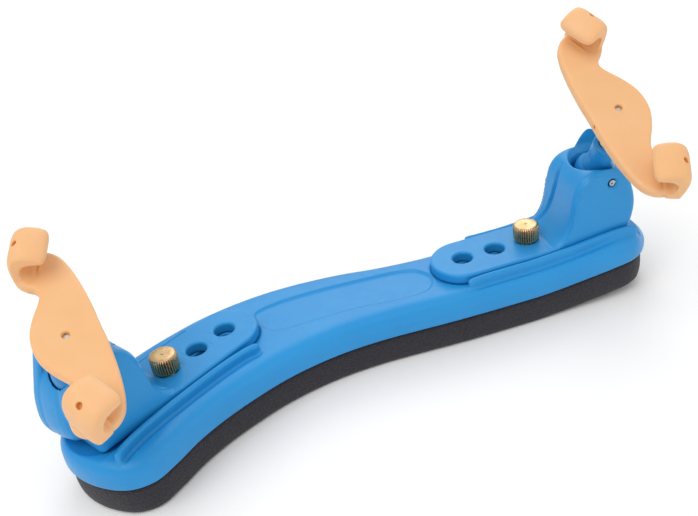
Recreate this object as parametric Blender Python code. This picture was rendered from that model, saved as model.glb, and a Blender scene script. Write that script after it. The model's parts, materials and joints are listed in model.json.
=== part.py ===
"""Adjustable violin shoulder rest: moulded base plate on a foam pad, two clamped feet, hinged rubber forks.

Lengths in this file are millimetres and are turned into metres when a mesh is made. X runs along the plate,
Y across it, Z up; the pad stands on Z = 0. Each foot is drawn in its own frame: x outward along its row of
holes, y across the tongue, z up from the tongue's top face.
"""

import math

import bmesh
import bpy
from mathutils import Matrix, Vector

MM = 0.001

# Heights above the surface the pad stands on.
PAD_TOP = 10.7
PLATE_BOTTOM = 11.0
DECK = 20.6
CHANNEL_FLOOR = 20.0
TONGUE_TOP = 24.0
RAIL_TOP = 23.3
END_LIFT = 3.2

# Seats of the two feet: plan position of the middle hole and heading of the outward direction.
RIGHT_SEAT = (54.5, 2.1, -4.95)
LEFT_SEAT = (-53.5, 3.4, -153.1)

# Foot.
HOLE_PITCH = 12.1
HOLE_RADIUS = 3.4
TONGUE_HALF = 11.2
TONGUE_THICK = 3.7
TRAVEL = 2 * HOLE_PITCH
CHANNEL_HALF = 11.7
RAIL_HALF = 0.9
HINGE = (39.0, 0.0, 19.6)
SLOT_HALF = 7.7
POCKET_RADIUS = 8.1
PIN_RADIUS = 1.3
PIN_BORE = 1.6

# Thumbscrew and nut bar.
HEAD_RADIUS = 4.45
HEAD_HEIGHT = 6.3
SHANK_RADIUS = 2.5
TAPPED_RADIUS = 2.8
SLIT_HALF = 2.9
POCKET_ROOF = 17.6
BAR_HALF = 4.0
BAR_TOP = 17.3
BAR_THICK = 2.7

# Ball joint: a drum on the hinge pin inside a ball-shaped yoke that tilts on two short pins.
BALL_RADIUS = 7.4
DRUM_RADIUS = 4.4
DRUM_HALF = 3.7
TILT_PIN_RADIUS = 1.2
TILT_BORE = 1.5
TILT_PIN_START = 2.6
TILT_PIN_END = 6.0
BRIDGE_ANGLE = 33.0
BOSS_RADIUS = 3.2
BOSS_TOP = 11.0
STUD_RADIUS = 2.0
STUD_BORE = 2.3
BORE_FLOOR = 6.0
COLLAR_RADIUS = 4.4
COLLAR_THICK = 1.2

# Fork.
FORK_THICK = 4.0
CORE_BOTTOM = -2.8
CORE_THICK = 1.4
CLAW_ANGLE = 24.0
CLAW_REACH = 10.7
CLAW_SPAN = (18.6, 30.8)
FIT = 0.3

# How each side is set: fold of the drum outward, lean of the yoke toward the far side, swivel of the fork on
# its stud (degrees), and the height of the fork's face above the ball. The right stud is the long one.
RIGHT_POSE = (-5.9, 31.5, -0.8, 37.1)
LEFT_POSE = (6.7, -20.3, -21.9, 17.0)

# Moves the whole part so that its datum is the middle of the space it takes up.
DATUM = (-4.06, 12.78)

PLATE_OUTLINE = [
    (109.2, -1.7), (107.3, 5.9), (102.3, 11.5), (93.7, 14.4), (75.7, 15.8), (55.8, 17.0), (36.9, 18.2),
    (26.0, 19.9), (15.5, 22.3), (5.1, 25.4), (-5.6, 27.7), (-16.4, 29.2), (-27.3, 29.6), (-38.3, 28.8),
    (-48.9, 26.9), (-59.2, 23.7), (-69.5, 19.6), (-79.5, 14.4), (-88.5, 8.0), (-95.8, 0.8), (-100.3, -6.5),
    (-100.9, -14.5), (-98.2, -22.2), (-92.6, -29.6), (-85.4, -34.6), (-77.5, -35.1), (-70.3, -31.2),
    (-61.4, -24.9), (-51.8, -19.8), (-41.1, -15.5), (-30.0, -12.0), (-18.7, -9.9), (-7.1, -9.1),
    (4.5, -9.6), (16.0, -11.0), (27.5, -12.7), (39.0, -14.1), (55.0, -15.7), (72.9, -17.2),
    (88.0, -18.6), (97.6, -18.4), (103.9, -14.8), (107.7, -8.9),
]
PANEL_OUTLINE = [
    (29.8, 6.0), (24.0, 12.2), (4.8, 16.3), (-13.2, 18.6), (-24.5, 18.6), (-30.2, 16.8), (-31.0, 12.6),
    (-30.0, 7.0), (-26.0, 3.0), (-18.9, 2.2), (-1.4, 0.8), (15.2, -2.8), (25.0, -3.6), (29.6, 0.6),
]
UPRIGHT_PROFILE = [
    (15.0, -0.9), (18.0, 0.5), (20.8, 2.6), (22.9, 6.0), (24.2, 11.0), (25.0, 16.0), (26.4, 20.6),
    (28.9, 23.6), (32.4, 25.1), (36.6, 25.4), (41.2, 24.2), (45.0, 20.8), (47.4, 15.4), (48.2, 9.6),
    (47.4, 4.4), (46.0, 0.4), (45.0, -3.4), (41.0, -3.7), (15.0, -3.7),
]
GROOVE = [
    (28.2, 5.0, 23.0), (26.0, 3.6, 19.2), (24.8, 3.4, 15.0), (24.0, 4.4, 11.0), (22.7, 5.4, 6.4),
    (19.8, 7.0, 2.2),
]
FORK_HALF = [
    (0.0, 9.3), (4.8, 8.6), (9.6, 6.4), (13.8, 3.7), (16.6, 2.5), (19.0, 3.2), (20.9, 5.2), (23.8, 6.5),
    (27.2, 6.1), (29.9, 4.0), (31.1, 0.6), (30.4, -2.9), (27.4, -5.7), (22.6, -7.5), (16.0, -8.7),
    (8.0, -9.3),
]
CLAW_PROFILE = [
    (0.5, -3.0), (5.6, -3.2), (6.5, -0.6), (6.8, 2.6), (6.6, 6.2), (5.2, 9.2), (2.4, 10.6), (-1.2, 10.3),
    (-3.9, 8.9), (-4.3, 7.0), (-3.2, 5.9), (-0.4, 5.7), (1.8, 5.0), (2.6, 3.2), (2.0, 1.2), (0.2, 0.0),
]
LEFT_NEAR_RAIL = [
    (-13.5, 15.0), (-10.0, 13.6), (-5.0, 12.9), (2.0, 12.5), (12.0, 12.5), (25.0, 12.9), (35.0, 13.9),
    (41.5, 15.4), (44.6, 17.2),
]
RIGHT_NEAR_RAIL = [(-13.0, 13.0), (-9.0, 12.5), (0.0, 12.4), (20.0, 12.4), (46.0, 12.4)]
FAR_RAIL = [(-6.0, 12.9), (0.0, 12.4), (20.0, 12.4), (38.0, 12.6)]


# ---------------------------------------------------------------- small helpers


def frame(seat):
    """World matrix of a foot: its middle hole, heading outward, height of the tongue's top face."""
    x, y, heading = seat
    place = Matrix.Translation(Vector((x, y, TONGUE_TOP)) * MM)
    return place @ Matrix.Rotation(math.radians(heading), 4, "Z")


def shift(x, y, z):
    return Matrix.Translation(Vector((x, y, z)) * MM)


def turn(degrees, axis):
    return Matrix.Rotation(math.radians(degrees), 4, axis)


def catmull_rom(a, b, c, d, t):
    square = (2 * a - 5 * b + 4 * c - d) * t * t
    cube = (3 * b - a - 3 * c + d) * t ** 3
    return 0.5 * (2 * b + (c - a) * t + square + cube)


def spline(points, steps, closed=True):
    """Catmull-Rom curve through plan points."""
    count = len(points)
    out = []
    spans = count if closed else count - 1
    for i in range(spans):
        if closed:
            p0 = points[(i - 1) % count]
            p1 = points[i]
            p2 = points[(i + 1) % count]
            p3 = points[(i + 2) % count]
        else:
            p0 = points[max(i - 1, 0)]
            p1 = points[i]
            p2 = points[i + 1]
            p3 = points[min(i + 2, count - 1)]
        for k in range(steps):
            t = k / steps
            out.append(tuple(catmull_rom(*values, t) for values in zip(p0, p1, p2, p3)))
    if not closed:
        out.append(tuple(points[-1]))
    return out


def circle(radius, count, cx=0.0, cy=0.0, start=0.0):
    angles = [start + 2 * math.pi * i / count for i in range(count)]
    return [(cx + radius * math.cos(t), cy + radius * math.sin(t)) for t in angles]


def stadium(x0, x1, half, count=12):
    """Round-ended bar outline along x."""
    right = [
        (x1 - half + half * math.cos(t), half * math.sin(t))
        for t in (math.pi * (i / count - 0.5) for i in range(count + 1))
    ]
    left = [
        (x0 + half - half * math.cos(t), -half * math.sin(t))
        for t in (math.pi * (i / count - 0.5) for i in range(count + 1))
    ]
    return right + left


def signed_area(loop):
    return 0.5 * sum(a[0] * b[1] - b[0] * a[1] for a, b in zip(loop, loop[1:] + loop[:1]))


def inset(loop, distance):
    """Move a counter-clockwise plan loop inward by a distance."""
    out = []
    count = len(loop)
    for i in range(count):
        before = Vector(loop[i - 1][:2])
        here = Vector(loop[i][:2])
        after = Vector(loop[(i + 1) % count][:2])
        along = (here - before).normalized() + (after - here).normalized()
        along.normalize()
        out.append((here.x - along.y * distance, here.y + along.x * distance))
    return out


def smooth(value):
    t = min(max(value, 0.0), 1.0)
    return t * t * (3 - 2 * t)


def make(name, bm, matrix, material, smooth_angle=35.0):
    """Turn a bmesh in millimetres into a named object at its own origin."""
    bmesh.ops.scale(bm, vec=(MM, MM, MM), verts=bm.verts)
    bmesh.ops.recalc_face_normals(bm, faces=bm.faces)
    mesh = bpy.data.meshes.new(name)
    bm.to_mesh(mesh)
    bm.free()
    obj = bpy.data.objects.new(name, mesh)
    bpy.context.scene.collection.objects.link(obj)
    obj.matrix_world = shift(*DATUM, 0.0) @ matrix
    if material is not None:
        mesh.materials.append(material)
    mesh.shade_smooth()
    mesh.set_sharp_from_angle(angle=math.radians(smooth_angle))
    return obj


def stack(rings):
    """Closed skin over rings with equal point counts, capped at both ends."""
    bm = bmesh.new()
    rows = [[bm.verts.new(p) for p in ring] for ring in rings]
    count = len(rows[0])
    for lower, upper in zip(rows, rows[1:]):
        for i in range(count):
            j = (i + 1) % count
            bm.faces.new((lower[i], lower[j], upper[j], upper[i]))
    bm.faces.new(list(reversed(rows[0])))
    bm.faces.new(rows[-1])
    return bm


def ring_at(loop, z):
    return [(p[0], p[1], z) for p in loop]


def prism(loop, z0, z1):
    return stack([ring_at(loop, z0), ring_at(loop, z1)])


def side_prism(profile, y0, y1):
    """Profile drawn in x and z, extruded across y."""
    return stack([[(x, y0, z) for x, z in profile], [(x, y1, z) for x, z in profile]])


def rod(radius, z0, z1, count=24, bevel=0.0):
    rings = [ring_at(circle(radius - bevel, count), z0)]
    if bevel > 0:
        rings.append(ring_at(circle(radius, count), z0 + bevel))
        rings.append(ring_at(circle(radius, count), z1 - bevel))
    rings.append(ring_at(circle(radius - bevel, count), z1))
    return stack(rings)


def boolean(target, tool, operation):
    modifier = target.modifiers.new(tool.name, "BOOLEAN")
    modifier.operation = operation
    modifier.solver = "EXACT"
    modifier.object = tool
    tool.hide_render = True
    tool.display_type = "WIRE"


def cut(target, bm, matrix, label):
    tool = make("tool_" + target.name + "_" + label, bm, matrix, None)
    boolean(target, tool, "DIFFERENCE")


def add(target, bm, matrix, label):
    tool = make("tool_" + target.name + "_" + label, bm, matrix, None)
    boolean(target, tool, "UNION")


def bevel(obj, width, segments=2, angle=40.0):
    modifier = obj.modifiers.new("edge", "BEVEL")
    modifier.width = width * MM
    modifier.segments = segments
    modifier.limit_method = "ANGLE"
    modifier.angle_limit = math.radians(angle)
    modifier.use_clamp_overlap = True


def material(name, colour, roughness, metallic=0.0):
    made = bpy.data.materials.new(name)
    made.use_nodes = True
    shader = made.node_tree.nodes["Principled BSDF"]
    shader.inputs["Base Color"].default_value = (*colour, 1.0)
    shader.inputs["Roughness"].default_value = roughness
    shader.inputs["Metallic"].default_value = metallic
    return made


# ---------------------------------------------------------------- base plate and pad


def plate_loop():
    return spline(PLATE_OUTLINE, 3)


def reach(x, y):
    """Distance outward from the right foot's middle hole."""
    heading = math.radians(RIGHT_SEAT[2])
    return (x - RIGHT_SEAT[0]) * math.cos(heading) + (y - RIGHT_SEAT[1]) * math.sin(heading)


def under_lift(x, y):
    """The plate's shoulder end curves gently upward."""
    return END_LIFT * smooth((reach(x, y) - 6.0) / 44.0)


def rim_lift(x, y):
    """The rim follows the same curve and comes back down over the open end."""
    return under_lift(x, y) * (1.0 - smooth((reach(x, y) - 45.0) / 8.0))


def base_plate(surface):
    loop = plate_loop()
    levels = [
        (0.9, PLATE_BOTTOM, False), (0.1, PLATE_BOTTOM + 0.8, False), (0.0, 14.6, False), (0.1, 16.6, True),
        (0.7, 18.4, True), (1.9, 19.7, True), (3.4, 20.4, True), (5.0, DECK, True),
    ]
    rings = []
    for distance, height, upper in levels:
        ring = []
        for x, y in inset(loop, distance):
            lift = rim_lift(x, y) if upper else under_lift(x, y)
            ring.append((x, y, height + lift))
        rings.append(ring)
    bm = stack(rings)
    bmesh.ops.triangulate(bm, faces=[f for f in bm.faces if len(f.verts) > 4])
    plate = make("base_plate", bm, Matrix.Identity(4), surface)
    for side, seat in (("right", RIGHT_SEAT), ("left", LEFT_SEAT)):
        seat_frame = frame(seat)
        floor = CHANNEL_FLOOR - TONGUE_TOP
        channel = stadium(-HOLE_PITCH - CHANNEL_HALF, 90.0, CHANNEL_HALF, 10)
        cut(plate, prism(channel, floor, 12.0), seat_frame, side + "_channel")
        cut(plate, dish(), seat_frame @ shift(38.5, 0.0, floor), side + "_dish")
        near = RIGHT_NEAR_RAIL if side == "right" else LEFT_NEAR_RAIL
        near_sign = -1.0 if side == "right" else 1.0
        add(plate, rail(near, near_sign, side), seat_frame, side + "_near_rail")
        add(plate, rail(FAR_RAIL, -near_sign, side), seat_frame, side + "_far_rail")
        slit = stadium(-HOLE_PITCH - SLIT_HALF, HOLE_PITCH + TRAVEL + SLIT_HALF, SLIT_HALF, 8)
        cut(plate, prism(slit, -12.0, 2.0), seat_frame, side + "_slit")
        pocket = stadium(-HOLE_PITCH - 4.6, HOLE_PITCH + TRAVEL + 4.6, BAR_HALF + 0.4, 8)
        cut(plate, prism(pocket, -20.0, POCKET_ROOF - TONGUE_TOP), seat_frame, side + "_pocket")
    panel = spline(PANEL_OUTLINE, 3)
    cut(plate, prism(panel, DECK - 0.5, DECK + 4.0), Matrix.Identity(4), "panel")
    return plate


def dish():
    """Shallow round hollow in the channel floor below each upright."""
    rings = []
    count = 32
    for radius, depth in ((2.0, -1.8), (5.5, -1.5), (9.0, -0.9), (11.3, 0.0), (12.4, 1.2)):
        rings.append(ring_at(circle(radius, count), depth))
    return stack(rings)


def rail(points, side, which):
    """Raised guide rail with a rounded crest; on the right the near rail climbs with the plate."""
    path = spline([(x, y * side) for x, y in points], 3, closed=False)
    base = CHANNEL_FLOOR - TONGUE_TOP - 0.6
    crest = RAIL_TOP - TONGUE_TOP
    rings = []
    last = len(path) - 1
    seat_frame = frame(RIGHT_SEAT if which == "right" else LEFT_SEAT)
    for i, (x, y) in enumerate(path):
        a = Vector(path[max(i - 1, 0)])
        b = Vector(path[min(i + 1, last)])
        along = (b - a).normalized()
        normal = Vector((-along.y, along.x))
        size = 1.0 if 0 < i < last else 0.55
        world = seat_frame @ Vector((x * MM, y * MM, 0.0))
        top = crest + rim_lift(world.x / MM, world.y / MM) - (0.5 if i in (0, last) else 0.0)
        section = [
            (-RAIL_HALF, base), (RAIL_HALF, base), (RAIL_HALF, top - 0.7), (0.45 * RAIL_HALF, top - 0.1),
            (-0.45 * RAIL_HALF, top - 0.1), (-RAIL_HALF, top - 0.7),
        ]
        rings.append([(x + normal.x * w * size, y + normal.y * w * size, z) for w, z in section])
    return stack(rings)


def foam_pad(surface):
    loop = plate_loop()
    rings = []
    for distance, height in ((2.6, 0.0), (1.5, 0.8), (1.2, 2.0), (1.2, PAD_TOP)):
        rings.append([(x, y, height + under_lift(x, y)) for x, y in inset(loop, distance)])
    bm = stack(rings)
    bmesh.ops.triangulate(bm, faces=[f for f in bm.faces if len(f.verts) > 4])
    return make("foam_pad", bm, Matrix.Identity(4), surface)


# ---------------------------------------------------------------- foot, screw and nut bar


def foot(side, seat, surface):
    seat_frame = frame(seat)
    tongue = stadium(-HOLE_PITCH - TONGUE_HALF, 40.0, TONGUE_HALF, 12)
    body = make(side + "_foot", prism(tongue, -TONGUE_THICK, 0.0), seat_frame, surface)
    bevel(body, 0.6, 2)
    upright = side_prism(UPRIGHT_PROFILE, -TONGUE_HALF, TONGUE_HALF)
    block = make("tool_" + side + "_foot_upright", upright, seat_frame, None)
    bevel(block, 1.4, 3, 60.0)
    boolean(body, block, "UNION")
    for i in range(-1, 2):
        place = seat_frame @ shift(i * HOLE_PITCH, 0.0, 0.0)
        cut(body, rod(HOLE_RADIUS, -9.0, 9.0, 28), place, "hole%d" % (i + 2))
    hx, _, hz = HINGE
    pocket = [
        (hx + POCKET_RADIUS * math.cos(t), hz + POCKET_RADIUS * math.sin(t))
        for t in (math.radians(170 + 100 * i / 9) for i in range(10))
    ]
    pocket += [(60.0, hz - POCKET_RADIUS), (60.0, 40.0), (hx - 14.5, 40.0), (hx - 12.2, hz + 6.4)]
    cut(body, side_prism(pocket, -SLOT_HALF, SLOT_HALF), seat_frame, "clevis")
    across = seat_frame @ shift(*HINGE) @ turn(90.0, "X")
    cut(body, rod(PIN_BORE, -20.0, 20.0, 20), across, "pin_bore")
    cut(body, tube(GROOVE, 1.1, 10), seat_frame, "groove")
    return body


def tube(points, radius, count):
    """Round bar swept along points that run nearly straight down."""
    rings = []
    last = len(points) - 1
    for i, point in enumerate(points):
        here = Vector(point)
        along = (Vector(points[min(i + 1, last)]) - Vector(points[max(i - 1, 0)])).normalized()
        across = Vector((0.0, 1.0, 0.0))
        up = across.cross(along)
        size = radius if 0 < i < last else radius * 0.35
        rings.append([tuple(here + across * (size * c) + up * (size * s)) for c, s in circle(1.0, count)])
    return stack(rings)


def thumbscrew(side, seat, surface):
    """Knurled head resting on the tongue, plain shank down to the nut bar."""
    flutes = 28
    count = flutes * 2
    knurl = []
    plain = circle(1.0, count)
    for i in range(count):
        depth = 0.0 if i % 2 == 0 else 0.35
        scale = HEAD_RADIUS - depth
        knurl.append((plain[i][0] * scale, plain[i][1] * scale))
    tip = BAR_TOP - BAR_THICK - TONGUE_TOP - 0.4
    rings = [
        ring_at(circle(SHANK_RADIUS - 0.5, count), tip),
        ring_at(circle(SHANK_RADIUS, count), tip + 0.5),
        ring_at(circle(SHANK_RADIUS, count), FIT),
        ring_at(circle(HEAD_RADIUS - 0.6, count), FIT),
        ring_at(knurl, FIT + 0.4),
        ring_at(knurl, HEAD_HEIGHT - 0.5),
        ring_at(circle(HEAD_RADIUS - 0.7, count), HEAD_HEIGHT),
    ]
    return make(side + "_thumbscrew", stack(rings), frame(seat) @ shift(HOLE_PITCH, 0.0, 0.0), surface)


def nut_bar(side, seat, surface):
    """Brass bar below the slit with a tapped hole under each hole of the tongue."""
    top = BAR_TOP - TONGUE_TOP
    outline = stadium(-HOLE_PITCH - BAR_HALF, HOLE_PITCH + BAR_HALF, BAR_HALF, 10)
    bar = make(side + "_nut_bar", prism(outline, top - BAR_THICK, top), frame(seat), surface)
    for i in range(-1, 2):
        place = frame(seat) @ shift(i * HOLE_PITCH, 0.0, 0.0)
        cut(bar, rod(TAPPED_RADIUS, top - 6.0, top + 6.0, 24), place, "hole%d" % (i + 2))
    return bar


def hinge_pin(side, seat, surface):
    """Coiled spring pin through both cheeks and the pivot drum."""
    across = frame(seat) @ shift(*HINGE) @ turn(90.0, "X")
    pin = make(side + "_hinge_pin", rod(PIN_RADIUS, -10.9, 10.9, 20, 0.25), across, surface)
    cut(pin, rod(0.45, -14.0, 14.0, 10), across, "bore")
    return pin


# ---------------------------------------------------------------- ball joint and fork


def drum_frame(seat, pose):
    """Middle of the hinge pin, x along the tilt pins."""
    return frame(seat) @ shift(*HINGE) @ turn(pose[0], "Y")


def yoke_frame(seat, pose):
    """Centre of the ball, z along the fork stud."""
    return drum_frame(seat, pose) @ turn(pose[1], "X")


def fork_frame(seat, pose):
    """Middle of the fork's top face, x along the fork, y outward, z up the stud."""
    return yoke_frame(seat, pose) @ shift(0.0, 0.0, pose[3]) @ turn(pose[2] - 90.0, "Z")


def drum(side, seat, pose, surface):
    """Pivot drum on the hinge pin, bored at both ends for the tilt pins."""
    place = drum_frame(seat, pose)
    across = place @ turn(90.0, "Y")
    body = make(side + "_pivot_drum", rod(DRUM_RADIUS, -DRUM_HALF, DRUM_HALF, 32, 0.4), across, surface)
    cut(body, rod(PIN_BORE, -20.0, 20.0, 20), place @ turn(90.0, "X"), "pin_bore")
    start = TILT_PIN_START - FIT
    cut(body, rod(TILT_BORE, start, 9.0, 16), across, "outer_tilt_bore")
    cut(body, rod(TILT_BORE, -9.0, -start, 16), across, "inner_tilt_bore")
    return body


def yoke(side, seat, pose, surface):
    """Ball with a slot for the drum, bridged over the top, and a threaded boss for the fork stud."""
    place = yoke_frame(seat, pose)
    seam = math.degrees(math.acos(BOSS_RADIUS / BALL_RADIUS))
    turns = [-80.0 + (seam + 80.0) * i / 13 for i in range(14)]
    rings = []
    for degrees in turns:
        t = math.radians(degrees)
        rings.append(ring_at(circle(BALL_RADIUS * math.cos(t), 36), BALL_RADIUS * math.sin(t)))
    rings.append(ring_at(circle(BOSS_RADIUS, 36), BOSS_TOP - 0.4))
    rings.append(ring_at(circle(BOSS_RADIUS - 0.4, 36), BOSS_TOP))
    body = make(side + "_yoke", stack(rings), place, surface)
    room = DRUM_RADIUS + FIT
    angles = [math.radians(90.0 - BRIDGE_ANGLE + 2 * BRIDGE_ANGLE * i / 8) for i in range(9)]
    slot = [(room * math.cos(t), room * math.sin(t)) for t in angles]
    slot += [(14.0 * math.cos(angles[-1]), 14.0 * math.sin(angles[-1])), (-16.0, -14.0), (16.0, -14.0)]
    slot += [(14.0 * math.cos(angles[0]), 14.0 * math.sin(angles[0]))]
    gap = DRUM_HALF + FIT
    cut(body, stack([[(x, y, z) for y, z in slot] for x in (-gap, gap)]), place, "drum_slot")
    end = TILT_PIN_END + FIT
    cut(body, rod(TILT_BORE, -end, end, 16), place @ turn(90.0, "Y"), "tilt_bore")
    cut(body, rod(STUD_BORE, BORE_FLOOR, 14.0, 24), place, "stud_bore")
    return body


def tilt_pin(side, label, sign, seat, pose, surface):
    across = drum_frame(seat, pose) @ turn(90.0 * sign, "Y")
    pin = rod(TILT_PIN_RADIUS, TILT_PIN_START, TILT_PIN_END, 16, 0.2)
    return make(side + "_" + label + "_tilt_pin", pin, across, surface)


def fork_stud(side, seat, pose, surface):
    """Steel stud screwed into the yoke, with a collar the fork sits on."""
    count = 24
    foot_end = BORE_FLOOR + FIT - pose[3]
    collar = -FORK_THICK - FIT
    rings = [
        ring_at(circle(STUD_RADIUS - 0.4, count), foot_end),
        ring_at(circle(STUD_RADIUS, count), foot_end + 0.4),
        ring_at(circle(STUD_RADIUS, count), collar - COLLAR_THICK),
        ring_at(circle(COLLAR_RADIUS, count), collar - COLLAR_THICK),
        ring_at(circle(COLLAR_RADIUS, count), collar),
        ring_at(circle(STUD_RADIUS, count), collar),
        ring_at(circle(STUD_RADIUS, count), CORE_BOTTOM - 0.4),
    ]
    return make(side + "_fork_stud", stack(rings), fork_frame(seat, pose), surface)


def fork_loop():
    half = FORK_HALF
    mirrored = [(-x, y) for x, y in reversed(half[1:])]
    loop = spline(half + [(0.0, -9.3)] + mirrored, 2)
    if signed_area(loop) < 0:
        loop.reverse()
    return loop


def leaf(margin, z0, z1, edge):
    loop = fork_loop()
    return stack([
        ring_at(inset(loop, margin + edge), z0), ring_at(inset(loop, margin), z0 + edge),
        ring_at(inset(loop, margin), z1 - edge), ring_at(inset(loop, margin + edge), z1),
    ])


def fork_core(side, seat, pose, surface):
    """Stiff leaf moulded inside the rubber."""
    bm = leaf(3.2, CORE_BOTTOM, CORE_BOTTOM + CORE_THICK, 0.3)
    return make(side + "_fork_core", bm, fork_frame(seat, pose), surface)


def fork_grip(side, seat, pose, surface):
    """Rubber leaf with a hooked claw at each end of its outer edge."""
    place = fork_frame(seat, pose)
    body = make(side + "_fork_grip", leaf(0.0, -FORK_THICK, 0.0, 0.8), place, surface)
    near, far = CLAW_SPAN
    for label, sign in (("claw_a", -1), ("claw_b", 1)):
        start = near if sign > 0 else -far
        rings = []
        for step, shrink in ((0.0, 1.3), (0.7, 0.5), (2.2, 0.0), (-2.2, 0.0), (-0.7, 0.5), (0.0, 1.3)):
            x = start + step if len(rings) < 3 else start + far - near + step
            section = inset(spline(CLAW_PROFILE, 2), shrink)
            rings.append([(x, CLAW_REACH + y, z) for y, z in section])
        add(body, stack(rings), place @ turn(-CLAW_ANGLE * sign, "Z"), label)
    cavity = leaf(2.9, CORE_BOTTOM - FIT, CORE_BOTTOM + CORE_THICK + FIT, 0.2)
    cut(body, cavity, place, "core_cavity")
    cut(body, rod(0.9, -2.0, 4.0, 12), place, "middle_hole")
    cut(body, rod(STUD_BORE, -9.0, CORE_BOTTOM + 0.2, 24), place, "stud_hole")
    return body


# ---------------------------------------------------------------- assembly


def main():
    for obj in list(bpy.data.objects):
        bpy.data.objects.remove(obj)
    blue = material("blue_plastic", (0.035, 0.30, 0.71), 0.38)
    dark_blue = material("joint_plastic", (0.03, 0.26, 0.66), 0.36)
    foam = material("black_foam", (0.035, 0.03, 0.035), 0.95)
    peach = material("peach_rubber", (0.88, 0.55, 0.29), 0.55)
    brass = material("brass", (0.62, 0.42, 0.19), 0.28, 1.0)
    steel = material("steel", (0.52, 0.52, 0.54), 0.3, 1.0)
    nylon = material("core_nylon", (0.75, 0.72, 0.66), 0.5)
    base_plate(blue)
    foam_pad(foam)
    for side, seat, pose in (("right", RIGHT_SEAT, RIGHT_POSE), ("left", LEFT_SEAT, LEFT_POSE)):
        foot(side, seat, blue)
        thumbscrew(side, seat, brass)
        nut_bar(side, seat, brass)
        hinge_pin(side, seat, steel)
        drum(side, seat, pose, dark_blue)
        yoke(side, seat, pose, dark_blue)
        tilt_pin(side, "outer", 1, seat, pose, steel)
        tilt_pin(side, "inner", -1, seat, pose, steel)
        fork_stud(side, seat, pose, steel)
        fork_core(side, seat, pose, nylon)
        fork_grip(side, seat, pose, peach)


main()
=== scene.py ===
"""Violin shoulder rest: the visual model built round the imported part.

Shapes are drawn in millimetres in the frames of the part's own joints and turned into metres when
placed.
"""

import json
import math

import bmesh
import bpy
from mathutils import Matrix, Vector


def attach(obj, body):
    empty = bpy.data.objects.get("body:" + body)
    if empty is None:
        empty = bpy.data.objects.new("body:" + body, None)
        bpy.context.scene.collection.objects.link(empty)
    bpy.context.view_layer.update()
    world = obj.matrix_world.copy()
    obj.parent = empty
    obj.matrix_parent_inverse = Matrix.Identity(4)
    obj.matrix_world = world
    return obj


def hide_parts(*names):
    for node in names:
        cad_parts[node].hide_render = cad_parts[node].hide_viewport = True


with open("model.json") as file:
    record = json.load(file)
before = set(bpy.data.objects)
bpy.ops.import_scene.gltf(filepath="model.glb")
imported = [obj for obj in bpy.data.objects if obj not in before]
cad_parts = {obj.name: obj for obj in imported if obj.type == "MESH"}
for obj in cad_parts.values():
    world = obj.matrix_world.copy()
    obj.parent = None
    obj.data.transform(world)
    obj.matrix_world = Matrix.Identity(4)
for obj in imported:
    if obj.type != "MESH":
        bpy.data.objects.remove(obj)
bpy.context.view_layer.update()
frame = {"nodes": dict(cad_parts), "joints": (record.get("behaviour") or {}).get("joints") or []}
JOINTS = {joint["name"]: joint for joint in frame["joints"]}

MM = 0.001
DATUM = (-4.06, 12.78)

# Heights above the table.
PAD_TOP = 10.8
PLATE_BOTTOM = 11.0
DECK = 20.6
CHANNEL_FLOOR = 20.0
TONGUE_TOP = 24.0
RAIL_TOP = 23.3
END_LIFT = 3.2
POCKET_ROOF = 17.6
PANEL_DEPTH = 0.75

# Distances along the right foot where the plate's end starts to rise, and how far it takes.
LIFT_START = 6.0
LIFT_LENGTH = 44.0
RIM_START = 45.0
RIM_LENGTH = 8.0

# Slit for the screws, pocket for the nut bar, and gutter beside a rail.
SLIT_HALF = 2.9
POCKET_END = 4.6
POCKET_HALF = 4.5
CHANNEL_END = 90.0
DISH_CENTRE = 38.5
GUTTER_OFFSET = 1.9

# Foot, screw and hinge.
RIGHT_SEAT = (54.5, 2.1, -4.95)
HOLE_PITCH = 12.1
HOLE_RADIUS = 3.4
TONGUE_HALF = 11.2
TONGUE_THICK = 3.7
TRAVEL = 24.2
CHANNEL_HALF = 11.7
HINGE = (39.0, 0.0, 19.6)
SOCKET_RADIUS = 8.1
BALL_RADIUS = 7.4
DRUM_ROOM = 4.7
DRUM_GAP = 4.0
BOSS_TOP = {"right": 17.5, "left": 11.0}
STUD_RADIUS = 2.0
STUD_BORE = 2.3
BORE_FLOOR = 6.0
PIN_BORE = 1.45
TILT_BORE = 1.45
HEAD_RADIUS = 4.45
HEAD_HEIGHT = 6.3
SCREW_THREAD = (2.5, 0.38, 0.8)
STUD_THREAD = (STUD_RADIUS, 0.34, 0.7)
COLLAR_RADIUS = 4.4
FORK_THICK = 4.0
CLAW_ANGLE = 24.0
CLAW_REACH = 10.7
CLAW_SPAN = (18.6, 30.8)
SWIVEL = {"right": -0.8, "left": -21.9}
RISE = {"right": 37.1, "left": 17.0}

# Voxel size in millimetres and rounds of smoothing for each moulding's skin.
PLATE_SKIN = (0.42, 5)
FOOT_SKIN = (0.3, 3)
YOKE_SKIN = (0.26, 4)
FORK_SKIN = (0.27, 6)

# Stage, in metres and watts: name, size, power and place of each light.
LIGHTS = (
    ("key", 0.9, 5.0, (-0.45, -0.35, 0.95)),
    ("back", 0.8, 2.6, (0.35, 0.75, 0.7)),
    ("fill", 0.9, 1.2, (0.8, -0.7, 0.5)),
)
LIGHT_TARGET = (0.0, 0.0, 0.03)
WORLD_STRENGTH = 0.72
FLOOR_HALF = 3.0
CAMERA_PLACE = (-0.07301, -0.22352, 0.19475)
CAMERA_RIGHT = (0.92065, -0.36426, -0.14043)
CAMERA_UP = (0.30726, 0.45417, 0.83625)
CAMERA_SENSOR = 36.0
CAMERA_LENS = 46.42

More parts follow.
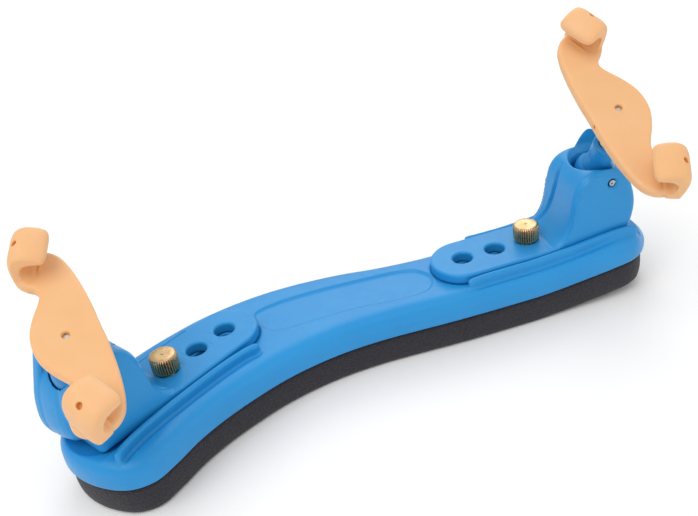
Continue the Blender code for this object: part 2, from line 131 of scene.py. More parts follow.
PLATE_OUTLINE = [
    (109.2, -1.7), (107.3, 5.9), (102.3, 11.5), (93.7, 14.4), (75.7, 15.8), (55.8, 17.0),
    (36.9, 18.2),
    (26.0, 19.9), (15.5, 22.3), (5.1, 25.4), (-5.6, 27.7), (-16.4, 29.2), (-27.3, 29.6),
    (-38.3, 28.8),
    (-48.9, 26.9), (-59.2, 23.7), (-69.5, 19.6), (-79.5, 14.4), (-88.5, 8.0), (-95.8, 0.8),
    (-100.3, -6.5),
    (-100.9, -14.5), (-98.2, -22.2), (-92.6, -29.6), (-85.4, -34.6), (-77.5, -35.1), (-70.3, -31.2),
    (-61.4, -24.9), (-51.8, -19.8), (-41.1, -15.5), (-30.0, -12.0), (-18.7, -9.9), (-7.1, -9.1),
    (4.5, -9.6), (16.0, -11.0), (27.5, -12.7), (39.0, -14.1), (55.0, -15.7), (72.9, -17.2),
    (88.0, -18.6), (97.6, -18.4), (103.9, -14.8), (107.7, -8.9),
]
PANEL_OUTLINE = [
    (29.8, 6.0), (24.0, 12.2), (4.8, 16.3), (-13.2, 18.6), (-24.5, 18.6), (-30.2, 16.8),
    (-31.0, 12.6),
    (-30.0, 7.0), (-26.0, 3.0), (-18.9, 2.2), (-1.4, 0.8), (15.2, -2.8), (25.0, -3.6), (29.6, 0.6),
]
UPRIGHT_PROFILE = [
    (11.0, -1.2), (15.0, -0.9), (18.0, 0.5), (20.8, 2.6), (22.9, 6.0), (24.2, 11.0), (25.0, 16.0),
    (26.4, 20.6), (28.9, 23.6), (32.4, 25.1), (36.6, 25.4), (41.2, 24.2), (45.0, 20.8),
    (47.4, 15.4),
    (48.2, 9.6), (47.4, 4.4), (46.0, 0.4), (45.0, -3.4),
]
BLADE_PROFILE = [
    (34.0, 21.0), (36.4, 25.4), (38.6, 28.6), (40.6, 30.5), (42.3, 30.8), (43.8, 29.4),
    (45.1, 26.4),
    (46.5, 22.4), (48.2, 17.4), (49.9, 12.0), (50.7, 6.0), (50.2, 1.4), (48.2, -2.2), (45.0, -3.4),
    (40.0, -3.4), (37.0, 4.0), (34.5, 14.0),
]
WALL_PROFILE = [
    (40.0, -3.3), (44.8, -3.3), (48.0, -2.1), (49.9, 1.5), (50.4, 6.0), (49.6, 12.0), (48.3, 16.4),
    (46.6, 19.2), (44.4, 20.2), (40.0, 19.0),
]
FORK_HALF = [
    (0.0, 9.3), (4.8, 8.6), (9.6, 6.4), (13.8, 3.7), (16.6, 2.5), (19.0, 3.2), (20.9, 5.2),
    (23.9, 7.0),
    (27.9, 7.2), (30.8, 5.0), (32.1, 0.9), (31.2, -3.3), (28.1, -6.5), (23.0, -8.2), (16.0, -9.2),
    (8.0, -9.7),
]
CLAW_PROFILE = [
    (0.5, -3.0), (5.6, -3.2), (6.5, -0.6), (6.8, 2.6), (6.6, 6.2), (5.2, 9.2), (2.4, 10.6),
    (-1.2, 10.3),
    (-3.9, 8.9), (-4.3, 7.0), (-3.2, 5.9), (-0.4, 5.7), (1.8, 5.0), (2.6, 3.2), (2.0, 1.2),
    (0.2, 0.0),
]
FIN_GROOVE = [
    (28.8, 4.9, 23.6), (27.0, 3.4, 21.2), (25.7, 3.0, 17.8), (24.8, 3.5, 13.6), (23.8, 4.7, 9.0),
    (22.2, 5.8, 5.0), (19.8, 7.2, 1.9), (17.2, 8.4, 0.5),
]
LEFT_NEAR_RAIL = [
    (-13.5, 15.0), (-10.0, 13.6), (-5.0, 12.9), (2.0, 12.5), (12.0, 12.5), (25.0, 12.9),
    (35.0, 13.9),
    (41.5, 15.4), (44.6, 17.2),
]
RIGHT_NEAR_RAIL = [(-15.6, 13.4), (-10.5, 12.6), (0.0, 12.5), (20.0, 12.5), (47.5, 12.5)]
FAR_RAIL = [(-6.0, 12.9), (0.0, 12.4), (20.0, 12.4), (38.0, 12.6)]


# ---------------------------------------------------------------- frames from the part's joints


def axes(origin, x, z):
    """Placing matrix with the given origin in metres and directions; y completes them."""
    x = Vector(x).normalized()
    z = Vector(z).normalized()
    y = z.cross(x).normalized()
    x = y.cross(z)
    place = Matrix((x, y, z)).transposed().to_4x4()
    place.translation = Vector(origin)
    return place


def shift(x, y, z):
    return Matrix.Translation(Vector((x, y, z)))


def turn(degrees, axis):
    return Matrix.Rotation(math.radians(degrees), 4, axis)


UNIT = Matrix.Scale(MM, 4)


def seat_frame(side):
    outward = Vector(JOINTS[side + "_foot_slide"]["axis"])
    hole = Vector(JOINTS[side + "_thumbscrew_turn"]["pos_m"])
    return axes(hole - outward * HOLE_PITCH * MM, outward, (0, 0, 1)) @ UNIT


def yoke_frame(side):
    tilt = JOINTS[side + "_fork_tilt"]
    return axes(tilt["pos_m"], tilt["axis"], JOINTS[side + "_fork_swivel"]["axis"]) @ UNIT


def fork_frame(side):
    place = yoke_frame(side) @ turn(SWIVEL[side] - 90.0, "Z")
    place.translation = Vector(JOINTS[side + "_fork_swivel"]["pos_m"])
    return place


# ---------------------------------------------------------------- drawing helpers


def catmull_rom(a, b, c, d, t):
    square = (2 * a - 5 * b + 4 * c - d) * t * t
    cube = (3 * b - a - 3 * c + d) * t ** 3
    return 0.5 * (2 * b + (c - a) * t + square + cube)


def spline(points, steps, closed=True):
    count = len(points)
    out = []
    for i in range(count if closed else count - 1):
        if closed:
            four = [points[(i + k) % count] for k in (-1, 0, 1, 2)]
        else:
            four = [points[min(max(i + k, 0), count - 1)] for k in (-1, 0, 1, 2)]
        out += [tuple(catmull_rom(*v, k / steps) for v in zip(*four)) for k in range(steps)]
    if not closed:
        out.append(tuple(points[-1]))
    return out


def circle(radius, count, cx=0.0, cy=0.0):
    angles = [2 * math.pi * i / count for i in range(count)]
    return [(cx + radius * math.cos(t), cy + radius * math.sin(t)) for t in angles]


def stadium(x0, x1, half, count=28):
    angles = [math.pi * (i / count - 0.5) for i in range(count + 1)]
    right = [(x1 - half + half * math.cos(t), half * math.sin(t)) for t in angles]
    left = [(x0 + half - half * math.cos(t), -half * math.sin(t)) for t in angles]
    return right + left


def inset(loop, distance):
    out = []
    count = len(loop)
    for i in range(count):
        before = Vector(loop[i - 1][:2])
        here = Vector(loop[i][:2])
        after = Vector(loop[(i + 1) % count][:2])
        along = ((here - before).normalized() + (after - here).normalized()).normalized()
        out.append((here.x - along.y * distance, here.y + along.x * distance))
    return out


def smooth(value):
    t = min(max(value, 0.0), 1.0)
    return t * t * (3 - 2 * t)


def ring_at(loop, z):
    return [(p[0], p[1], z) for p in loop]


def stack(rings):
    """Closed skin over rings with equal point counts, capped at both ends."""
    bm = bmesh.new()
    rows = [[bm.verts.new(p) for p in ring] for ring in rings]
    count = len(rows[0])
    for lower, upper in zip(rows, rows[1:]):
        for i in range(count):
            j = (i + 1) % count
            bm.faces.new((lower[i], lower[j], upper[j], upper[i]))
    caps = [bm.faces.new(list(reversed(rows[0]))), bm.faces.new(rows[-1])]
    bmesh.ops.triangulate(bm, faces=caps)
    bmesh.ops.recalc_face_normals(bm, faces=bm.faces)
    if bm.calc_volume(signed=True) < 0:
        bmesh.ops.reverse_faces(bm, faces=bm.faces)
    return bm


def prism(loop, z0, z1):
    return stack([ring_at(loop, z0), ring_at(loop, z1)])


def turned(profile, count):
    """Rings of a turned shape, from pairs of radius and height."""
    return [ring_at(circle(radius, count), height) for radius, height in profile]


def side_slab(outline, layers, mirror=1.0):
    """Side-on outline laid across the foot, inset by its own margin at each distance."""
    return stack([[(x, mirror * y, z) for x, z in inset(outline, margin)]
                  for y, margin in layers])


def thread_ring(thread, z, count, drift=0.0):
    """One turn's cross-section of a V thread given as radius, depth and pitch."""
    radius, depth, pitch = thread
    ring = []
    for i in range(count):
        t = 2 * math.pi * i / count
        phase = (z / pitch - i / count) % 1.0
        r = radius - depth * (1.0 - abs(2 * phase - 1.0))
        ring.append((r * math.cos(t), r * math.sin(t), z + drift))
    return ring


def swell(i, count, margin):
    """Thickness that grows from each end of a path towards its middle."""
    return math.sin(math.pi * min(max(i / count, margin), 1.0 - margin)) ** 0.5


def rod(radius, z0, z1, count):
    return stack(turned([(radius, z0), (radius, z1)], count))


def tube(points, radii, count=20, across=(0.0, 1.0, 0.0)):
    """Round bar swept along points, with its own radius at each one."""
    rings = []
    last = len(points) - 1
    for i, point in enumerate(points):
        here = Vector(point)
        along = (Vector(points[min(i + 1, last)]) - Vector(points[max(i - 1, 0)])).normalized()
        side = Vector(across)
        side = (side - along * side.dot(along)).normalized()
        up = side.cross(along)
        rings.append([tuple(here + side * (radii[i] * c) + up * (radii[i] * s))
                      for c, s in circle(1.0, count)])
    return stack(rings)


def rounded(loop, z0, z1, radius, steps=5):
    """Prism with rounded top and bottom edges."""
    angles = [math.pi / 2 * k / steps for k in range(steps + 1)]
    low = [(radius * (1 - math.sin(t)), z0 + radius * (1 - math.cos(t))) for t in angles]
    high = [(radius * (1 - math.sin(t)), z1 - radius * (1 - math.cos(t))) for t in angles[::-1]]
    return stack([ring_at(inset(loop, margin), height) for margin, height in low + high])


class Moulding:
    """A closed solid built up from simple ones, its edges then softened as a moulding's are."""

    def __init__(self, name, bm):
        self.name = name
        self.tools = []
        self.body = self.keep(name, bm)

    def keep(self, name, bm):
        mesh = bpy.data.meshes.new(name)
        bm.to_mesh(mesh)
        bm.free()
        obj = bpy.data.objects.new(name, mesh)
        bpy.context.scene.collection.objects.link(obj)
        return obj

    def use(self, bm, matrix, operation):
        tool = self.keep("tool", bm)
        tool.matrix_world = matrix
        self.tools.append(tool)
        modifier = self.body.modifiers.new("join", "BOOLEAN")
        modifier.operation = operation
        modifier.solver = "MANIFOLD"
        modifier.object = tool

    def add(self, bm, matrix=Matrix.Identity(4)):
        self.use(bm, matrix, "UNION")

    def cut(self, bm, matrix=Matrix.Identity(4)):
        self.use(bm, matrix, "DIFFERENCE")

    def finish(self, place, surface, skin):
        voxel, rounds = skin
        remesh = self.body.modifiers.new("skin", "REMESH")
        remesh.mode = "VOXEL"
        remesh.voxel_size = voxel
        relax = self.body.modifiers.new("relax", "SMOOTH")
        relax.factor = 0.5
        relax.iterations = rounds
        bpy.context.view_layer.update()
        graph = bpy.context.evaluated_depsgraph_get()
        mesh = bpy.data.meshes.new_from_object(self.body.evaluated_get(graph))
        for tool in self.tools:
            bpy.data.objects.remove(tool)
        bpy.data.objects.remove(self.body)
        return put(self.name, mesh, place, surface)


def put(name, mesh, place, surface):
    mesh.transform(place)
    mesh.materials.clear()
    mesh.materials.append(surface)
    mesh.shade_smooth()
    mesh.name = name
    obj = bpy.data.objects.new(name, mesh)
    bpy.context.scene.collection.objects.link(obj)
    return obj


def put_bm(name, bm, place, surface, sharp=40.0):
    mesh = bpy.data.meshes.new(name)
    bm.to_mesh(mesh)
    bm.free()
    obj = put(name, mesh, place, surface)
    mesh.set_sharp_from_angle(angle=math.radians(sharp))
    return obj


# ---------------------------------------------------------------- materials


class Surface:
    """Node material with a Principled shader and a few shared building blocks."""

    def __init__(self, name, colour, roughness, metallic=0.0):
        self.material = bpy.data.materials.new(name)
        self.material.use_nodes = True
        self.nodes = self.material.node_tree.nodes
        self.links = self.material.node_tree.links
        self.shader = self.nodes["Principled BSDF"]
        self.shader.inputs["Base Color"].default_value = (*colour, 1.0)
        self.shader.inputs["Roughness"].default_value = roughness
        self.shader.inputs["Metallic"].default_value = metallic
        self.place = self.nodes.new("ShaderNodeTexCoord").outputs["Object"]
        self.height = None

    def noise(self, scale, detail=3.0, rough=0.5):
        node = self.nodes.new("ShaderNodeTexNoise")
        node.inputs["Scale"].default_value = scale
        node.inputs["Detail"].default_value = detail
        node.inputs["Roughness"].default_value = rough
        self.links.new(self.place, node.inputs["Vector"])
        return node.outputs["Fac"]

    def cells(self, scale):
        node = self.nodes.new("ShaderNodeTexVoronoi")
        node.inputs["Scale"].default_value = scale
        self.links.new(self.place, node.inputs["Vector"])
        return node.outputs["Distance"]

    def spread(self, value, low, high, out_low, out_high):
        node = self.nodes.new("ShaderNodeMapRange")
        keys = ("From Min", "From Max", "To Min", "To Max")
        for key, number in zip(keys, (low, high, out_low, out_high)):
            node.inputs[key].default_value = number
        self.links.new(value, node.inputs["Value"])
        return node.outputs["Result"]

    def mix(self, value, a, b):
        node = self.nodes.new("ShaderNodeMix")
        node.data_type = "RGBA"
        self.links.new(value, node.inputs[0])
        for socket, colour in ((node.inputs[6], a), (node.inputs[7], b)):
            if isinstance(colour, tuple):
                socket.default_value = (*colour, 1.0)
            else:
                self.links.new(colour, socket)
        return node.outputs[2]

    def painted_crease_shade(self, distance, low, high):
        """Ambient-occlusion mask for painted shade: 0 in the open, rising to 1 in creases and
        hollows.
        """
        node = self.nodes.new("ShaderNodeAmbientOcclusion")
        node.samples = 8
        node.inputs["Distance"].default_value = distance
        return self.spread(node.outputs["AO"], high, low, 0.0, 1.0)

    def bump(self, value, distance, strength):
        node = self.nodes.new("ShaderNodeBump")
        node.inputs["Strength"].default_value = strength
        node.inputs["Distance"].default_value = distance
        self.links.new(value, node.inputs["Height"])
        if self.height is not None:
            self.links.new(self.height, node.inputs["Normal"])
        self.height = node.outputs["Normal"]
        self.links.new(self.height, self.shader.inputs["Normal"])

    def colour(self, output):
        self.links.new(output, self.shader.inputs["Base Color"])

    def roughness(self, output):
        self.links.new(output, self.shader.inputs["Roughness"])


def plastic(name, light, dark, rough=0.36):
    s = Surface(name, light, rough)
    patches = s.mix(s.spread(s.noise(45.0, 3.0), 0.3, 0.7, 0.0, 1.0), light, dark)
    specks = s.spread(s.noise(1400.0, 2.0), 0.60, 0.78, 0.0, 0.5)
    s.colour(s.mix(specks, patches, tuple(c * 0.86 for c in dark)))
    s.roughness(s.spread(s.noise(420.0, 4.0), 0.25, 0.75, rough - 0.06, rough + 0.08))
    s.bump(s.noise(160.0, 2.0), 0.00012, 0.35)
    s.bump(s.noise(2600.0, 2.0), 0.00002, 0.5)
    s.shader.inputs["Specular IOR Level"].default_value = 0.32
    s.shader.inputs["Coat Weight"].default_value = 0.04
    s.shader.inputs["Coat Roughness"].default_value = 0.25
    return s.material


def rubber(name):
    s = Surface(name, (0.89, 0.53, 0.26), 0.5)
    patches = s.spread(s.noise(60.0, 4.0), 0.3, 0.7, 0.0, 1.0)
    open_colour = s.mix(patches, (0.82, 0.475, 0.235), (0.79, 0.44, 0.20))
    # Painted shade: the colour deepens to a darker orange in creases and hollows, standing in for
    # shadow and for light scattered through the rubber.
    s.colour(s.mix(s.painted_crease_shade(0.006, 0.35, 0.92), open_colour, (0.74, 0.31, 0.08)))
    s.roughness(s.spread(s.noise(500.0, 3.0), 0.3, 0.7, 0.44, 0.60))
    s.bump(s.noise(220.0, 3.0), 0.0001, 0.4)
    s.bump(s.noise(3200.0, 2.0), 0.00002, 0.5)
    s.shader.inputs["Subsurface Weight"].default_value = 0.22
    s.shader.inputs["Subsurface Radius"].default_value = (1.0, 0.45, 0.18)
    s.shader.inputs["Subsurface Scale"].default_value = 0.0022
    s.shader.inputs["Specular IOR Level"].default_value = 0.35
    return s.material


def foam(name):
    s = Surface(name, (0.042, 0.034, 0.038), 0.95)
    fine = s.spread(s.noise(1500.0, 3.0, 0.7), 0.32, 0.72, 0.0, 1.0)
    base = s.mix(fine, (0.013, 0.012, 0.016), (0.036, 0.033, 0.042))
    pores = s.spread(s.cells(1300.0), 0.10, 0.32, 1.0, 0.0)
    s.colour(s.mix(pores, base, (0.009, 0.008, 0.011)))
    s.bump(s.noise(700.0, 4.0, 0.7), 0.00025, 0.7)
    s.bump(s.cells(1300.0), 0.0002, 0.8)
    s.bump(s.noise(90.0, 2.0), 0.0006, 0.25)
    s.shader.inputs["Sheen Weight"].default_value = 0.12
    s.shader.inputs["Sheen Roughness"].default_value = 0.6
    s.shader.inputs["Specular IOR Level"].default_value = 0.25
    return s.material


def brass(name, centre=None):
    s = Surface(name, (0.72, 0.50, 0.24), 0.3, 1.0)
    stain = s.spread(s.noise(260.0, 4.0, 0.6), 0.35, 0.75, 0.0, 1.0)
    base = s.mix(stain, (0.68, 0.47, 0.26), (0.52, 0.34, 0.16))
    # Painted shade: dark brown-grey in the fine creases of the knurl, standing in for shade and the
    # dark surroundings reflected there.
    s.colour(s.mix(s.painted_crease_shade(0.0008, 0.25, 0.8), base, (0.14, 0.10, 0.07)))
    s.roughness(s.spread(s.noise(900.0, 4.0), 0.3, 0.7, 0.22, 0.42))
    if centre is not None:
        mapping = s.nodes.new("ShaderNodeMapping")
        mapping.inputs["Location"].default_value = tuple(-v for v in centre)
        s.links.new(s.place, mapping.inputs["Vector"])
        wave = s.nodes.new("ShaderNodeTexWave")
        wave.wave_type = "RINGS"
        wave.rings_direction = "Z"
        wave.inputs["Scale"].default_value = 900.0
        wave.inputs["Distortion"].default_value = 0.6
        s.links.new(mapping.outputs["Vector"], wave.inputs["Vector"])
        s.bump(wave.outputs["Fac"], 0.00001, 0.5)
    s.bump(s.noise(1800.0, 3.0), 0.00001, 0.5)
    return s.material


def steel(name):
    s = Surface(name, (0.60, 0.60, 0.62), 0.28, 1.0)
    patches = s.spread(s.noise(500.0, 4.0), 0.3, 0.7, 0.0, 1.0)
    s.colour(s.mix(patches, (0.66, 0.66, 0.68), (0.45, 0.45, 0.48)))
    s.roughness(s.spread(s.noise(1600.0, 3.0), 0.3, 0.7, 0.20, 0.38))
    s.bump(s.noise(2400.0, 3.0), 0.00001, 0.5)
    return s.material


def nylon(name):
    s = Surface(name, (0.72, 0.69, 0.62), 0.5)
    patches = s.spread(s.noise(90.0, 3.0), 0.3, 0.7, 0.0, 1.0)
    s.colour(s.mix(patches, (0.76, 0.73, 0.66), (0.66, 0.63, 0.56)))
    s.roughness(s.spread(s.noise(700.0, 3.0), 0.3, 0.7, 0.42, 0.6))
    s.bump(s.noise(1500.0, 3.0), 0.00003, 0.5)
    return s.material


# ---------------------------------------------------------------- plate and pad


def plate_loop(steps):
    return spline([(x + DATUM[0], y + DATUM[1]) for x, y in PLATE_OUTLINE], steps)


def reach(x, y):
    heading = math.radians(RIGHT_SEAT[2])
    dx = x - DATUM[0] - RIGHT_SEAT[0]
    dy = y - DATUM[1] - RIGHT_SEAT[1]
    return dx * math.cos(heading) + dy * math.sin(heading)


def under_lift(x, y):
    return END_LIFT * smooth((reach(x, y) - LIFT_START) / LIFT_LENGTH)


def rim_lift(x, y):
    return under_lift(x, y) * (1.0 - smooth((reach(x, y) - RIM_START) / RIM_LENGTH))


def plate_solid():
    loop = plate_loop(10)
    levels = [
        (1.2, PLATE_BOTTOM, False), (0.6, PLATE_BOTTOM + 0.15, False),
        (0.15, PLATE_BOTTOM + 0.6, False),
        (0.0, 12.4, False), (0.0, 14.6, False), (0.05, 15.8, True), (0.2, 16.9, True),
        (0.55, 18.0, True),
        (1.1, 18.9, True), (1.9, 19.65, True), (2.8, 20.15, True), (3.8, 20.45, True),
        (5.0, DECK, True),
    ]
    rings = []
    for distance, height, upper in levels:
        ring = []
        for x, y in inset(loop, distance):
            lift = rim_lift(x, y) if upper else under_lift(x, y)
            ring.append((x, y, height + lift))
        rings.append(ring)
    return stack(rings)


def dish():
    shape = ((2.0, -1.85), (5.0, -1.7), (8.0, -1.2), (10.0, -0.6), (11.3, 0.0), (12.4, 1.2))
    return stack(turned(shape, 64))


def rail_path(points, side, outward=0.0):
    return spline([(x, (y + outward) * side) for x, y in points], 8, closed=False)


def rail(points, side, seat):
    """Raised guide rail with a rounded crest."""
    path = rail_path(points, side)
    base = CHANNEL_FLOOR - TONGUE_TOP - 0.6
    crest = RAIL_TOP - TONGUE_TOP + 0.25
    rings = []
    last = len(path) - 1
    for i, (x, y) in enumerate(path):
        a = Vector(path[max(i - 1, 0)])
        b = Vector(path[min(i + 1, last)])
        along = (b - a).normalized()
        normal = Vector((-along.y, along.x))
        end = min(i, last - i) / 3.0
        size = 0.7 + 0.3 * smooth(end)
        world = seat @ Vector((x, y, 0.0))
        top = crest + rim_lift(world.x / MM, world.y / MM) - 0.5 * (1.0 - smooth(end))
        section = [(-1.0, base), (1.0, base), (1.0, top - 0.8)]
        section += [(1.0 * math.cos(t), top - 0.8 + 0.8 * math.sin(t)) for t in
                    (math.pi * k / 8 for k in range(1, 8))]
        section += [(-1.0, top - 0.8)]
        rings.append([(x + normal.x * w * size, y + normal.y * w * size, z) for w, z in section])
    return stack(rings)


def valley(points, side, seat):
    """Shallow gutter that runs outside a rail and fades out at both ends."""
    path = rail_path(points, side, GUTTER_OFFSET)
    deck = DECK - TONGUE_TOP
    last = len(path) - 1
    line = []
    for x, y in path:
        world = seat @ Vector((x, y, 0.0))
        line.append((x, y, deck + 0.35 + rim_lift(world.x / MM, world.y / MM)))
    return tube(line, [0.3 + 0.95 * smooth(min(i, last - i) / 6.0) for i in range(last + 1)])


def build_plate(surface):
    mould = Moulding("plate", plate_solid())
    for side in ("right", "left"):
        seat = seat_frame(side)
        local = UNIT.inverted() @ seat
        floor = CHANNEL_FLOOR - TONGUE_TOP
        channel = stadium(-HOLE_PITCH - CHANNEL_HALF, CHANNEL_END, CHANNEL_HALF)
        mould.cut(prism(channel, floor, 12.0), local)
        mould.cut(dish(), local @ shift(DISH_CENTRE, 0.0, floor))
        near = RIGHT_NEAR_RAIL if side == "right" else LEFT_NEAR_RAIL
        near_sign = -1.0 if side == "right" else 1.0
        for points, sign in ((near, near_sign), (FAR_RAIL, -near_sign)):
            mould.cut(valley(points, sign, seat), local)
            mould.add(rail(points, sign, seat), local)
        slit = stadium(-HOLE_PITCH - SLIT_HALF, HOLE_PITCH + TRAVEL + SLIT_HALF, SLIT_HALF)
        mould.cut(prism(slit, -12.0, 2.0), local)
        pocket = stadium(-HOLE_PITCH - POCKET_END, HOLE_PITCH + TRAVEL + POCKET_END, POCKET_HALF)
        mould.cut(prism(pocket, -20.0, POCKET_ROOF - TONGUE_TOP), local)
    panel = spline([(x + DATUM[0], y + DATUM[1]) for x, y in PANEL_OUTLINE], 10)
    mould.cut(stack([ring_at(inset(panel, 0.5), DECK - PANEL_DEPTH), ring_at(panel, DECK - 0.1),
                     ring_at(panel, DECK + 4)]))
    piece = mould.finish(UNIT, surface, PLATE_SKIN)
    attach(piece, "base")
    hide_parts("base_plate")


def wave(position, seed):
    """Slow unevenness made of three sines, for the cut edge of the foam."""
    waves = ((0.11, 1.3, 1), (0.31, 2.7, 2), (0.83, 4.1, 3))
    return sum(math.sin(position * f + seed * p) / n for f, p, n in waves)


def build_pad(surface):
    """Die-cut foam pad: flat above, softly rounded below, with a slightly uneven cut edge."""
    loop = plate_loop(8)
    levels = [(4.2, 0.0), (2.9, 0.12), (2.1, 0.5), (1.6, 1.2), (1.35, 2.2)]
    levels += [(1.2, 3.4), (1.12, 4.8), (1.1, 6.2), (1.15, 7.6), (1.2, 9.0), (1.25, 10.1)]
    levels += [(1.6, 10.6), (2.6, PAD_TOP)]
    travelled = [0.0]
    for a, b in zip(loop, loop[1:]):
        travelled.append(travelled[-1] + math.dist(a, b))
    rings = []
    for distance, height in levels:
        ring = []
        body = smooth(height / 2.0) * smooth((PAD_TOP - height) / 1.5)
        for (x, y), s in zip(inset(loop, distance), travelled):
            ring.append((x, y, height + under_lift(x, y) + 0.10 * body * wave(s, 3.0)))
        rings.append(ring)
    piece = put_bm("pad", stack(rings), UNIT, surface, 60.0)
    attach(piece, "base")
    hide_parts("foam_pad")


# ---------------------------------------------------------------- foot, screw and pins


def build_foot(side, surface):
    tongue = rounded(stadium(-HOLE_PITCH - TONGUE_HALF, 40.0, TONGUE_HALF), -TONGUE_THICK, 0.0, 0.7)
    mould = Moulding(side + "_foot_body", tongue)
    outline = spline(UPRIGHT_PROFILE, 6, closed=False) + [(41.0, -3.7), (11.0, -3.7)]
    mould.add(side_slab(outline[::-1], (
        (-TONGUE_HALF - 0.1, 2.2), (-TONGUE_HALF + 0.2, 1.2), (-TONGUE_HALF + 0.8, 0.5),
        (-TONGUE_HALF + 1.9, 0.0), (TONGUE_HALF - 1.9, 0.0), (TONGUE_HALF - 0.8, 0.5),
        (TONGUE_HALF - 0.2, 1.2), (TONGUE_HALF + 0.1, 2.2))))
    # Taller, wider cheek on the side away from the camera, which the CAD foot doesn't have.
    far = 1.0 if side == "right" else -1.0
    blade = spline(BLADE_PROFILE, 5)[::-1]
    mould.add(side_slab(blade, ((6.6, 0.8), (6.9, 0.3), (7.4, 0.0), (9.6, 0.0), (10.5, 0.4),
                                (11.0, 1.0), (11.25, 1.9)), far))
    # Wall that closes the outer end of the socket.
    wall = spline(WALL_PROFILE, 5)
    mould.add(side_slab(wall, ((-2.5, 2.6), (-1.6, 1.6), (0.0, 0.8), (2.5, 0.25), (5.0, 0.0),
                               (8.0, 0.0)), far))
    for i in range(-1, 2):
        centre = shift(i * HOLE_PITCH, 0.0, 0.0)
        mould.cut(rod(HOLE_RADIUS, -9.0, 9.0, 64), centre)
        mould.cut(stack(turned([(HOLE_RADIUS, -0.45), (HOLE_RADIUS + 0.75, 0.3)], 64)), centre)
    hx, _, hz = HINGE
    steps = [math.radians(-88.0 + 11.0 * i) for i in range(9)]
    socket = [(SOCKET_RADIUS * math.cos(t), SOCKET_RADIUS * math.sin(t)) for t in steps]
    socket += [(SOCKET_RADIUS, 2.4), (8.5, 3.8), (9.2, 4.8), (10.0, 5.7), (10.3, 6.6), (10.4, 20.0)]
    mould.cut(stack(turned(socket, 72)), shift(hx - 0.3, -0.3, hz))
    across = shift(*HINGE) @ turn(90.0, "X")
    mould.cut(rod(PIN_BORE, -20.0, 20.0, 32), across)
    for low in (-12.0, 10.75):
        mould.cut(rod(2.0, low, low + 1.25, 40), across)
    # Groove that sets the thin fin apart on one edge.
    path = spline(FIN_GROOVE, 5, closed=False)
    count = len(path) - 1
    mould.cut(tube(path, [1.1 * (0.15 + 0.85 * swell(i, count, 0.02)) for i in range(count + 1)]))
    # Raised rolled border on one cheek: the near one on the right foot, the far one on the left.
    crest = ((27.5, 14.5), (27.2, 18.0), (28.8, 21.2), (32.0, 23.0), (36.5, 23.2))
    border = spline([(x, -TONGUE_HALF, z) for x, z in crest], 6, closed=False)
    count = len(border) - 1
    mould.add(tube(border, [0.55 * swell(i, count, 0.03) for i in range(count + 1)]))
    # Engraved alignment arcs between the holes.
    for i in (-1, 0):
        for sign in (-1, 1):
            cx = (i + 0.5) * HOLE_PITCH
            arc = [(cx + sign * 1.3 + 0.5 * math.cos(t) * sign, 3.2 * math.sin(t), 0.12) for t in
                   (math.radians(-70 + 14 * k) for k in range(11))]
            mould.cut(tube(arc, [0.32] * 11, 10, (0.0, 0.0, 1.0)))
    piece = mould.finish(seat_frame(side), surface, FOOT_SKIN)
    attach(piece, side + "_foot_body")
    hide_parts(side + "_foot")


def build_screw(side, surface):
    """Turned brass head with a straight knurl, chamfered both ways, on a threaded shank."""
    flutes = 34
    per = 8
    count = flutes * per
    bite = [0.0, 0.02, 0.16, 0.38, 0.46, 0.38, 0.16, 0.02]

    def knurl(depth):
        out = []
        for i in range(count):
            t = 2 * math.pi * i / count
            r = HEAD_RADIUS - depth - bite[i % per] * max(0.0, 1.0 - depth / 0.5)
            out.append((r * math.cos(t), r * math.sin(t)))
        return out

    rings = turned([(2.2, -9.4), (2.5, -9.0)], count)
    steps = 60
    for k in range(steps + 1):
        rings.append(thread_ring(SCREW_THREAD, -9.0 + 8.2 * k / steps, count, 0.001 * k))
    rings += turned([(2.5, -0.6), (2.5, 0.3), (HEAD_RADIUS - 0.9, 0.3)], count)
    rings += [ring_at(knurl(depth), z) for depth, z in (
        (0.45, 0.42), (0.0, 0.95), (0.0, 2.4), (0.0, 4.2), (0.0, HEAD_HEIGHT - 0.62),
        (0.3, HEAD_HEIGHT - 0.3))]
    rings += turned([
        (HEAD_RADIUS - 0.55, HEAD_HEIGHT - 0.08), (HEAD_RADIUS - 0.72, HEAD_HEIGHT),
        (2.4, HEAD_HEIGHT), (0.5, HEAD_HEIGHT), (0.33, HEAD_HEIGHT - 0.12),
        (0.12, HEAD_HEIGHT - 0.42)], count)
    place = seat_frame(side) @ shift(HOLE_PITCH, 0.0, 0.0)
    piece = put_bm(side + "_screw", stack(rings), place, surface, 28.0)
    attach(piece, side + "_thumbscrew_body")
    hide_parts(side + "_thumbscrew")


